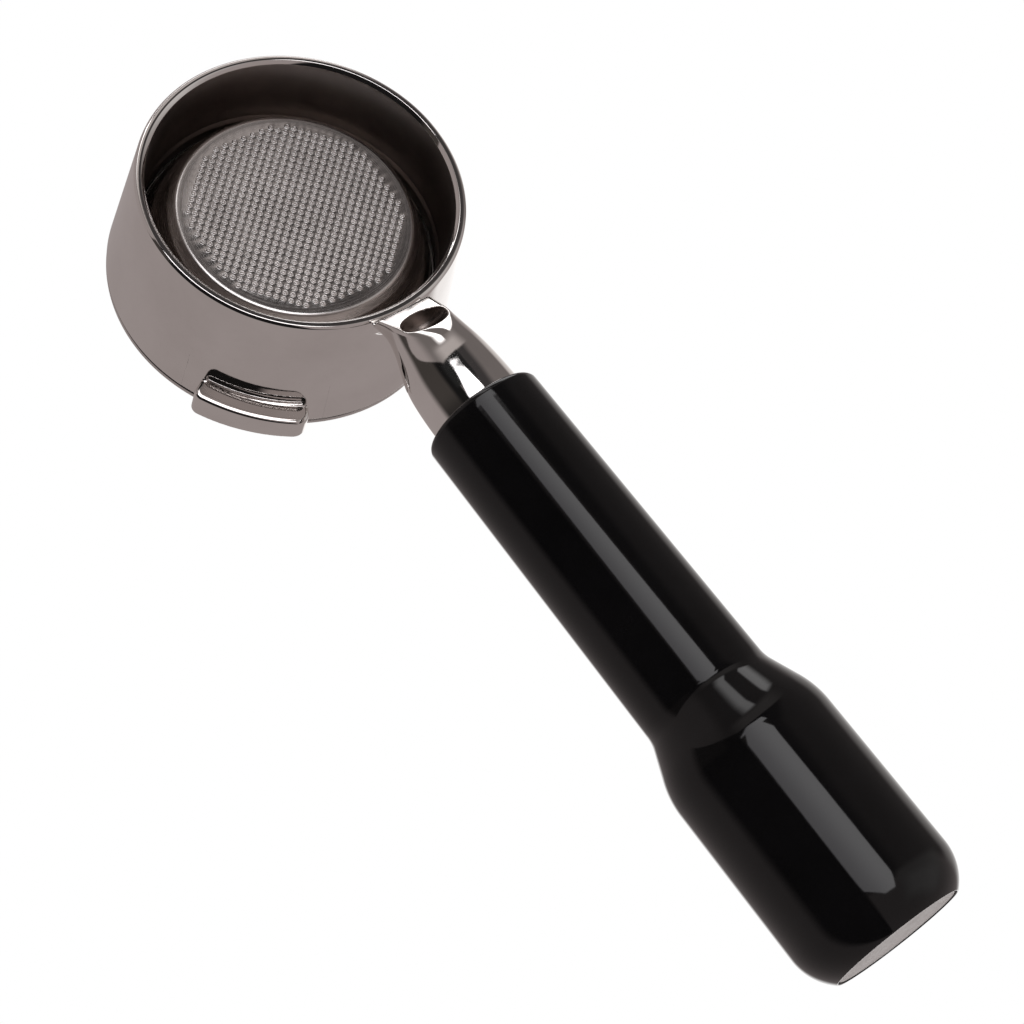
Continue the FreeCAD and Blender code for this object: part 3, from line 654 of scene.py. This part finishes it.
# ------------------------------------------------------------------ handle grip
def arc_points(a, b, radius, side, seg=24):
    """Points after a, up to and with b, on the arc between them."""
    a, b = np.array(a, float), np.array(b, float)
    chord = b - a
    half = np.linalg.norm(chord) / 2
    left = np.array([-chord[1], chord[0]]) / (2 * half) * side
    c = (a + b) / 2 + left * math.sqrt(max(radius ** 2 - half ** 2, 0))
    a0, a1 = math.atan2(*(a - c)[::-1]), math.atan2(*(b - c)[::-1])
    while a1 - a0 > math.pi:
        a1 -= 2 * math.pi
    while a1 - a0 < -math.pi:
        a1 += 2 * math.pi
    return [c + radius * np.array([math.cos(a0 + (a1 - a0) * k / seg), math.sin(a0 + (a1 - a0) * k / seg)]) for k in range(1, seg + 1)]


out = [(58.95, 9.78), (58.95, 10.98)]
out += [tuple(p) for p in arc_points((58.95, 10.98), (60.25, 12.28), 1.3, -1, 12)]
out += [(127.3, 13.03)]
out += [tuple(p) for p in arc_points((127.3, 13.03), (130.35, 13.62), 8.2, 1)]
out += [(135.8, 15.76)]
out += [tuple(p) for p in arc_points((135.8, 15.76), (142.9, 17.06), 18.8, -1)]
out += [(174.9, 17.28)]
out += [tuple(p) for p in arc_points((174.9, 17.28), (183.15, 13.6), 11.0, -1, 32)]
inner = [(183.15, 13.3), (181.5, 13.3), (181.5, 12.25), (176.6, 12.25), (176.6, 11.0), (160.0, 11.0),
         (160.0, 7.65), (76.0, 7.65), (76.0, 10.32), (63.2, 10.32), (63.2, 9.78)]
prof = np.array([(r, x) for x, r in out + inner])
n_out = len(out)
prof = rounded(prof, {0: 0.2, n_out - 1: 0.14, n_out: 0.1}, seg=4)
prof = refine(prof, 1.6, closed=True)
grip = lathe("gloss_grip", prof, 320, True, "X", (0, 0, ZB + ZA), sharp=32)

# end disc, a spun satin plate with a rolled edge
back = 183.0
disc_corners = [(0.0, back), (12.75, back), (13.2, back - 0.45), (13.2, back - 1.2), (0.0, back - 1.2)]
disc = lathe("satin_end_disc", refine(rounded(disc_corners, {1: 0.35, 2: 0.25, 3: 0.1}, seg=6, closed=False), 0.7), 256, False, "X",
             (0, 0, ZB + ZA), sharp=40)

# ------------------------------------------------------------------ materials


class Nodes:
    """Small helper for building a node tree."""

    def __init__(self, tree):
        self.t = tree
        tree.nodes.clear()

    def new(self, kind, **kw):
        n = self.t.nodes.new(kind)
        for k, v in kw.items():
            setattr(n, k, v)
        return n

    def link(self, a, b):
        self.t.links.new(a, b)

    def math(self, op, a, b=None, c=None, clamp=False):
        n = self.new("ShaderNodeMath", operation=op, use_clamp=clamp)
        for i, v in enumerate((a, b, c)):
            if v is None:
                continue
            if isinstance(v, (int, float)):
                n.inputs[i].default_value = v
            else:
                self.link(v, n.inputs[i])
        return n.outputs[0]

    def noise(self, vec, scale, detail=3.0, rough=0.55, dist=0.0):
        n = self.new("ShaderNodeTexNoise")
        n.inputs["Scale"].default_value = scale
        n.inputs["Detail"].default_value = detail
        n.inputs["Roughness"].default_value = rough
        n.inputs["Distortion"].default_value = dist
        self.link(vec, n.inputs["Vector"])
        return n.outputs["Fac"]

    def remap(self, v, a, b, c, d, smooth=False):
        n = self.new("ShaderNodeMapRange", clamp=True)
        if smooth:
            n.interpolation_type = "SMOOTHSTEP"
        self.link(v, n.inputs["Value"])
        for k, x in (("From Min", a), ("From Max", b), ("To Min", c), ("To Max", d)):
            n.inputs[k].default_value = x
        return n.outputs["Result"]

    def ramp(self, v, stops):
        n = self.new("ShaderNodeValToRGB")
        e = n.color_ramp.elements
        while len(e) < len(stops):
            e.new(0.5)
        for el, (p, c) in zip(e, stops):
            el.position = p
            el.color = (*c, 1)
        self.link(v, n.inputs[0])
        return n.outputs["Color"]

    def bump(self, height, strength, distance, normal=None):
        n = self.new("ShaderNodeBump")
        n.inputs["Strength"].default_value = strength
        n.inputs["Distance"].default_value = distance
        self.link(height, n.inputs["Height"])
        if normal is not None:
            self.link(normal, n.inputs["Normal"])
        return n.outputs["Normal"]

    def vec(self, x, y, z):
        n = self.new("ShaderNodeCombineXYZ")
        for i, v in enumerate((x, y, z)):
            if isinstance(v, (int, float)):
                n.inputs[i].default_value = v
            else:
                self.link(v, n.inputs[i])
        return n.outputs[0]


def material(name):
    m = bpy.data.materials.new(name)
    m.use_nodes = True
    k = Nodes(m.node_tree)
    out = k.new("ShaderNodeOutputMaterial")
    b = k.new("ShaderNodeBsdfPrincipled")
    k.link(b.outputs[0], out.inputs[0])
    co = k.new("ShaderNodeTexCoord").outputs["Object"]
    sep = k.new("ShaderNodeSeparateXYZ")
    k.link(co, sep.inputs[0])
    return m, k, b, co, sep.outputs


def chrome():
    m, k, b, co, xyz = material("polished_chrome")
    b.inputs["Metallic"].default_value = 1.0
    patch = k.noise(co, 55, 4, 0.6)
    fine = k.noise(co, 900, 3, 0.6)
    k.link(k.ramp(patch, [(0.30, (0.735, 0.708, 0.690)), (0.55, (0.785, 0.760, 0.742)), (0.75, (0.815, 0.792, 0.775))]), b.inputs["Base Color"])
    smear = k.noise(k.vec(k.math("MULTIPLY", xyz[0], 1.0), k.math("MULTIPLY", xyz[1], 1.0), k.math("MULTIPLY", xyz[2], 2.6)), 90, 4, 0.62, 0.6)
    rough = k.math("ADD", k.remap(smear, 0.45, 0.72, 0.035, 0.085), k.remap(fine, 0.35, 0.75, 0.0, 0.02))
    k.link(rough, b.inputs["Roughness"])
    wave = k.noise(co, 70, 2, 0.5)
    n1 = k.bump(wave, 0.06, 0.0005)
    n2 = k.bump(fine, 0.03, 0.00004, n1)
    k.link(n2, b.inputs["Normal"])
    return m


def satin_bore_painted_shade(name, base, rough, grain):
    """The plated casting where it isn't polished: the ring's bore and the pocket. The rough satin marks are its real
    finish; the dark brownish base colour passed in is painted shade.
    """
    m, k, b, co, xyz = material(name)
    b.inputs["Metallic"].default_value = 1.0
    r = k.math("SQRT", k.math("ADD", k.math("MULTIPLY", xyz[0], xyz[0]), k.math("MULTIPLY", xyz[1], xyz[1])))
    th = k.math("ARCTAN2", xyz[1], xyz[0])
    marks = k.noise(k.vec(k.math("MULTIPLY", r, 2600.0), k.math("MULTIPLY", th, 2.2), k.math("MULTIPLY", xyz[2], 2600.0)), 1.0, 4, 0.65)
    cloud = k.noise(co, 90, 4, 0.6)
    k.link(k.ramp(cloud, [(0.32, tuple(v * 0.88 for v in base)), (0.5, base), (0.7, tuple(v * 1.1 for v in base))]), b.inputs["Base Color"])
    k.link(k.math("ADD", k.remap(marks, 0.35, 0.68, rough - 0.05, rough + 0.06), k.remap(cloud, 0.45, 0.75, 0.0, 0.06)), b.inputs["Roughness"])
    n1 = k.bump(marks, 0.25 * grain, 0.00003)
    k.link(k.bump(cloud, 0.08, 0.0003, n1), b.inputs["Normal"])
    return m


def spun_steel(name, base, lo_r, hi_r, axis="Z", grain=1.0, aniso=0.0):
    """Steel with fine marks that run round an axis."""
    m, k, b, co, xyz = material(name)
    b.inputs["Metallic"].default_value = 1.0
    if axis == "Z":
        p, q, h = xyz[0], xyz[1], xyz[2]
    else:
        p, q = xyz[1], k.math("ADD", xyz[2], 0.0312)
        h = xyz[0]
    r = k.math("SQRT", k.math("ADD", k.math("MULTIPLY", p, p), k.math("MULTIPLY", q, q)))
    th = k.math("ARCTAN2", q, p)
    marks = k.noise(k.vec(k.math("MULTIPLY", r, 5200.0), k.math("MULTIPLY", th, 1.6), k.math("MULTIPLY", h, 5200.0)), 1.0, 4, 0.65)
    broad = k.noise(k.vec(k.math("MULTIPLY", r, 420.0), k.math("MULTIPLY", th, 0.8), k.math("MULTIPLY", h, 420.0)), 1.0, 3, 0.6)
    cloud = k.noise(co, 120, 4, 0.6)
    tone = k.math("ADD", k.math("MULTIPLY", cloud, 0.6), k.math("MULTIPLY", broad, 0.4))
    c0 = tuple(v * 0.90 for v in base)
    c1 = tuple(min(1, v * 1.08) for v in base)
    k.link(k.ramp(tone, [(0.35, c0), (0.52, base), (0.68, c1)]), b.inputs["Base Color"])
    k.link(k.math("ADD", k.remap(marks, 0.35, 0.68, lo_r, hi_r), k.remap(cloud, 0.45, 0.75, 0.0, 0.06)), b.inputs["Roughness"])
    n1 = k.bump(marks, 0.18 * grain, 0.00003)
    n2 = k.bump(cloud, 0.05, 0.0002, n1)
    k.link(n2, b.inputs["Normal"])
    if aniso:
        b.inputs["Anisotropic"].default_value = aniso
    return m


def gloss_black():
    m, k, b, co, xyz = material("black_gloss")
    cloud = k.noise(co, 60, 4, 0.6)
    k.link(k.ramp(cloud, [(0.35, (0.0065, 0.0065, 0.007)), (0.7, (0.0095, 0.0095, 0.0105))]), b.inputs["Base Color"])
    fine = k.noise(co, 1400, 3, 0.6)
    smear = k.noise(k.vec(k.math("MULTIPLY", xyz[0], 0.35), xyz[1], xyz[2]), 160, 5, 0.65, 0.8)
    k.link(k.math("ADD", k.remap(smear, 0.46, 0.74, 0.05, 0.10), k.remap(fine, 0.45, 0.8, 0.0, 0.02)), b.inputs["Roughness"])
    b.inputs["IOR"].default_value = 1.4
    peel = k.noise(co, 420, 2, 0.5)
    n1 = k.bump(peel, 0.05, 0.00006)
    k.link(n1, b.inputs["Normal"])
    return m


def plain(name, base, rough, metal=0.0, scale=300, bump=0.1, dist=0.0001):
    m, k, b, co, xyz = material(name)
    b.inputs["Metallic"].default_value = metal
    cloud = k.noise(co, scale, 5, 0.6)
    fine = k.noise(co, scale * 9, 3, 0.6)
    c0 = tuple(v * 0.86 for v in base)
    c1 = tuple(min(1, v * 1.12) for v in base)
    k.link(k.ramp(cloud, [(0.32, c0), (0.5, base), (0.7, c1)]), b.inputs["Base Color"])
    k.link(k.remap(cloud, 0.3, 0.7, max(0.02, rough - 0.07), min(1, rough + 0.07)), b.inputs["Roughness"])
    n1 = k.bump(fine, bump, dist)
    n2 = k.bump(cloud, bump, dist * 3, n1)
    k.link(n2, b.inputs["Normal"])
    return m


M = {
    "polished_chrome": chrome(),
    "basket_steel": spun_steel("basket_steel", (0.66, 0.635, 0.62), 0.16, 0.30),
    # the bore's dark brownish base colour is painted shade inside the ring; its roughness is the real satin finish
    "satin_bore_painted_shade": satin_bore_painted_shade("satin_bore_painted_shade", (0.40, 0.355, 0.335), 0.34, 1.0),
    # the pocket's still darker base colour is painted shade in the recess; its roughness is the real cast finish
    "cast_pocket_painted_shade": satin_bore_painted_shade("cast_pocket_painted_shade", (0.30, 0.26, 0.24), 0.38, 1.6),
    # the domes' lighter steel colour is a painted highlight; their low roughness is their real polish
    "dimples_painted_highlight": spun_steel("dimples_painted_highlight", (0.84, 0.82, 0.81), 0.07, 0.13),
    "spring_steel": plain("spring_steel", (0.55, 0.54, 0.53), 0.22, 1.0, 500, 0.08, 0.00004),
    "black_gloss": gloss_black(),
    "bushing_brass": spun_steel("bushing_brass", (0.75, 0.58, 0.30), 0.2, 0.34, "X"),
    "sleeve_aluminium": spun_steel("sleeve_aluminium", (0.66, 0.67, 0.68), 0.24, 0.40, "X"),
    "plain_steel": spun_steel("plain_steel", (0.52, 0.51, 0.50), 0.22, 0.38, "X"),
    "zinc_steel": plain("zinc_steel", (0.62, 0.63, 0.65), 0.32, 1.0, 420, 0.15, 0.00005),
    "seal_rubber": plain("seal_rubber", (0.022, 0.022, 0.022), 0.62, 0.0, 600, 0.2, 0.00006),
    "plug_plastic": plain("plug_plastic", (0.028, 0.028, 0.03), 0.42, 0.0, 380, 0.2, 0.00008),
    "pad_foam": plain("pad_foam", (0.78, 0.78, 0.75), 0.85, 0.0, 800, 0.4, 0.0002),
    "satin_steel": spun_steel("satin_steel", (0.66, 0.65, 0.64), 0.30, 0.42, "X", 1.4),
}


def dress(ob, slot):
    ob.data.materials.clear()
    ob.data.materials.append(M[slot])


for ob, slot in ((ring, "polished_chrome"), (neck, "polished_chrome"), (spigot, "polished_chrome"), (basket, "basket_steel"),
                 (spring, "spring_steel"), (grip, "black_gloss"), (disc, "satin_steel")):
    dress(ob, slot)
for ob in ring.children:
    dress(ob, "polished_chrome")



def second(ob, slot, chosen):
    """Gives the chosen faces of a piece a finish of their own."""
    ob.data.materials.append(M[slot])
    index = np.zeros(len(ob.data.polygons), np.int32)
    index[chosen] = len(ob.data.materials) - 1
    ob.data.polygons.foreach_set("material_index", index)


def faces(ob):
    n = len(ob.data.polygons)
    c, q = np.zeros(n * 3), np.zeros(n * 3)
    ob.data.polygons.foreach_get("center", c)
    ob.data.polygons.foreach_get("normal", q)
    return c.reshape(-1, 3) * 1000, q.reshape(-1, 3)


C, D = faces(ring)
R = np.hypot(C[:, 0], C[:, 1])
inward = (C[:, :2] * D[:, :2]).sum(1) / np.maximum(R, 1e-6) < -0.4
# the inward faces of the bore get the darker base colour, painted shade
second(ring, "satin_bore_painted_shade", inward & (R < 31.6) & (C[:, 2] > -30.9))
C, D = faces(neck)
a, b, c = 3.35, 6.0, 9.0
inside = np.sqrt(((C[:, 0] - 38.45) / a) ** 2 + (C[:, 1] / b) ** 2 + ((C[:, 2] + 31.4 + 9.8) / c) ** 2) < 1.03
# faces inside the pocket get the darker base colour, painted shade
second(neck, "cast_pocket_painted_shade", inside)
C, D = faces(basket)
sx = np.array([[np.hypot(dots[:, 0] - p[0], dots[:, 1] - p[1]).min()] for p in C[:, :2]])[:, 0]
# the domes get the lighter steel colour, a painted highlight
second(basket, "dimples_painted_highlight", (C[:, 2] < -21.0) & (sx < 0.56))
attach(ring, "portafilter_body")
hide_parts("head_casting")
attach(basket, "basket")
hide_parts("filter_basket")
for ob, node in ((spring, "retaining_spring"), (grip, "handle_grip"), (disc, "end_disc")):
    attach(ob, "portafilter_body")
    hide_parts(node)

slots = {n["node"]: n["material_slot"] for n in frame["record"].get("parts", []) if isinstance(n, dict) and "node" in n}
CAD_SLOT = {"front_bushing": "bushing_brass", "anti_rotation_pin": "plain_steel", "neck_seal_ring": "seal_rubber",
            "core_sleeve": "sleeve_aluminium", "flat_washer": "zinc_steel", "lock_washer": "zinc_steel", "tie_screw": "zinc_steel",
            "end_plug": "plug_plastic", "disc_adhesive_pad": "pad_foam", "head_casting": "polished_chrome",
            "filter_basket": "basket_steel", "retaining_spring": "spring_steel", "handle_grip": "black_gloss", "end_disc": "satin_steel"}
for node, ob in frame["nodes"].items():
    mat = M[CAD_SLOT[node]]
    if not ob.data.materials:
        ob.data.materials.append(mat)
    for i in range(len(ob.data.materials)):
        ob.data.materials[i] = mat

# ------------------------------------------------------------------ floor, light, camera
m, k, b, co, xyz = material("floor_paint")
k.link(k.ramp(k.noise(co, 6, 3, 0.5), [(0.3, (0.80, 0.80, 0.80)), (0.7, (0.84, 0.84, 0.84))]), b.inputs["Base Color"])
k.link(k.remap(k.noise(co, 40, 3, 0.5), 0.3, 0.7, 0.62, 0.75), b.inputs["Roughness"])
bm = bmesh.new()
N_F, R_F = 96, 4.0
c = bm.verts.new((0.09, 0, -0.62))
rim = [bm.verts.new((0.09 + R_F * math.cos(2 * math.pi * i / N_F), R_F * math.sin(2 * math.pi * i / N_F), -0.62)) for i in range(N_F)]
for i in range(N_F):
    bm.faces.new((c, rim[i], rim[(i + 1) % N_F]))
me = bpy.data.meshes.new("studio_floor")
bm.to_mesh(me)
bm.free()
floor = bpy.data.objects.new("studio_floor", me)
bpy.context.scene.collection.objects.link(floor)
me.materials.append(m)
floor.visible_glossy = False

world = bpy.data.worlds.new("studio")
bpy.context.scene.world = world
world.use_nodes = True
W = Nodes(world.node_tree)
wo = W.new("ShaderNodeOutputWorld")
white = W.new("ShaderNodeBackground")
white.inputs["Color"].default_value = (1, 1, 1, 1)
white.inputs["Strength"].default_value = 1.0

# The studio round the object: a grey room with two soft boxes below and behind it, a third
# over its far side and black flags between them. A direction is given by its slope along the
# handle (X) and by its angle round the handle (P, degrees, 0 at +Y and 90 at +Z).
dsep = W.new("ShaderNodeSeparateXYZ")
W.link(W.new("ShaderNodeTexCoord").outputs["Generated"], dsep.inputs[0])
X = dsep.outputs[0]
P = W.math("MULTIPLY", W.math("ARCTAN2", dsep.outputs[2], dsep.outputs[1]), 180 / math.pi)


def rise(v, a, b):
    return W.remap(v, a, b, 0.0, 1.0, True)


def fall(v, a, b):
    return W.remap(v, a, b, 1.0, 0.0, True)


def both(*masks):
    out = masks[0]
    for q in masks[1:]:
        out = W.math("MULTIPLY", out, q)
    return out


def over(under, colour, mask):
    n = W.new("ShaderNodeMix", data_type="RGBA")
    W.link(mask, n.inputs["Factor"])
    W.link(under, n.inputs[6]) if not isinstance(under, tuple) else setattr(n.inputs[6], "default_value", (*under, 1))
    W.link(colour, n.inputs[7]) if not isinstance(colour, tuple) else setattr(n.inputs[7], "default_value", (*colour, 1))
    return n.outputs[2]


def above(v, t):
    """How far v is over t, not less than nought."""
    return W.math("MAXIMUM", W.math("SUBTRACT", v, t), 0.0)


def below(v, t):
    return W.math("MAXIMUM", W.math("SUBTRACT", t, v), 0.0)


def shifted(v, *terms):
    out = v
    for factor, term in terms:
        out = W.math("ADD", out, W.math("MULTIPLY", term, factor))
    return out


ROOM = (0.352, 0.309, 0.302)
sky = over(ROOM, (0.175, 0.155, 0.15), both(fall(P, -60, -30), fall(X, 0.0, 0.2)))
sky = over(sky, (0.17, 0.15, 0.145), both(rise(P, 158, 172), fall(X, 0.0, 0.2)))
# pale wall low down on the ring's side
sky = over(sky, (0.50, 0.455, 0.44), both(rise(P, -160, -120), fall(P, -85, -50), fall(X, -0.465, -0.445), rise(X, -0.66, -0.56)))
sky = over(sky, (2.6, 2.55, 2.55), both(fall(X, -0.66, -0.60), W.math("MAXIMUM", fall(P, -143, -138), both(rise(P, -112, -107), fall(P, -100, -80)))))
sky = over(sky, (2.6, 2.55, 2.55), both(fall(X, -0.66, -0.60), rise(P, 160, 175)))
# black flag on the near side
PF = shifted(P, (-330.0, below(X, -0.46)))
dark = over((0.010, 0.0095, 0.0095), (0.055, 0.048, 0.044), both(rise(P, -48, -36), fall(X, -0.40, -0.30)))
sky = over(sky, dark, both(rise(PF, -66, -60), fall(P, -2, 16), rise(X, -0.72, -0.64)))
# narrow flag beside the key box and at its end
PG = shifted(P, (70.0, below(X, -0.13)))
sky = over(sky, (0.05, 0.046, 0.046), both(rise(PG, -124, -104), fall(P, -104, -100), rise(X, -0.455, -0.445), fall(X, 0.0, 0.15)))
sky = over(sky, (0.02, 0.02, 0.02), both(rise(P, -112, -108), fall(P, -60, -50), rise(X, -0.462, -0.452), fall(X, -0.40, -0.38)))
# fill box under the handle's end
PCd = W.math("ABSOLUTE", W.math("WRAP", W.math("ADD", P, 140.0), 180.0, -180.0))
sky = over(sky, (0.40, 0.375, 0.365), both(fall(PCd, 26, 44), rise(X, -0.14, 0.10), fall(X, 0.62, 0.86)))
sky = over(sky, (0.56, 0.535, 0.525), both(fall(PCd, 14, 36), rise(X, 0.10, 0.38), fall(X, 0.55, 0.80)))
# key box, and the part of it that the neck sees
key = over((3.1, 3.05, 3.10), (1.95, 1.90, 1.97), rise(P, -98, -64))
PL = shifted(P, (-39.0, below(X, -0.15)), (-14.0, above(X, -0.10)))
PR = shifted(P, (45.0, above(X, -0.12)), (32.0, below(X, -0.12)))
sky = over(sky, key, both(rise(PL, -104.5, -102.5), fall(PR, -63.2, -61.2), rise(X, -0.344, -0.340), fall(X, 0.30, 0.36)))
PN = shifted(P, (157.0, below(X, -0.35)))
PM = shifted(P, (-57.0, below(X, -0.35)))
XN = shifted(X, (-0.0009, W.math("ABSOLUTE", W.math("ADD", P, 80.0))))
sky = over(sky, key, both(rise(PM, -104.5, -103), fall(PN, -63, -61), rise(XN, -0.440, -0.434), fall(X, -0.344, -0.340)))
# box over the far side
over_box = over((1.20, 1.18, 1.17), (0.62, 0.58, 0.56), rise(P, 112, 162))
sky = over(sky, over_box, both(rise(P, 92, 104), fall(P, 158, 174), rise(X, -0.46, -0.36), fall(X, 0.08, 0.26)))

bg = W.new("ShaderNodeBackground")
W.link(sky, bg.inputs["Color"])
mixs = W.new("ShaderNodeMixShader")
lp = W.new("ShaderNodeLightPath")
W.link(lp.outputs["Is Camera Ray"], mixs.inputs[0])
W.link(bg.outputs[0], mixs.inputs[1])
W.link(white.outputs[0], mixs.inputs[2])
W.link(mixs.outputs[0], wo.inputs[0])

cam = bpy.data.cameras.new("camera")
cam.lens = 97.0468
cam.sensor_width = 36.0
cam.sensor_fit = "HORIZONTAL"
cam.clip_start, cam.clip_end = 0.01, 20
camera = bpy.data.objects.new("camera", cam)
bpy.context.scene.collection.objects.link(camera)
right = Vector((0.59376827, -0.77306104, -0.22319469))
down = Vector((0.75362695, 0.43711198, 0.49089667))
ahead = Vector((-0.28193202, -0.4596844, 0.84214286))
m = Matrix((right, -down, -ahead)).transposed().to_4x4()
m.translation = Vector((0.22328220, 0.24306109, -0.46199084))
camera.matrix_world = m
bpy.context.scene.camera = camera
bpy.context.scene.view_settings.view_transform = "Standard"
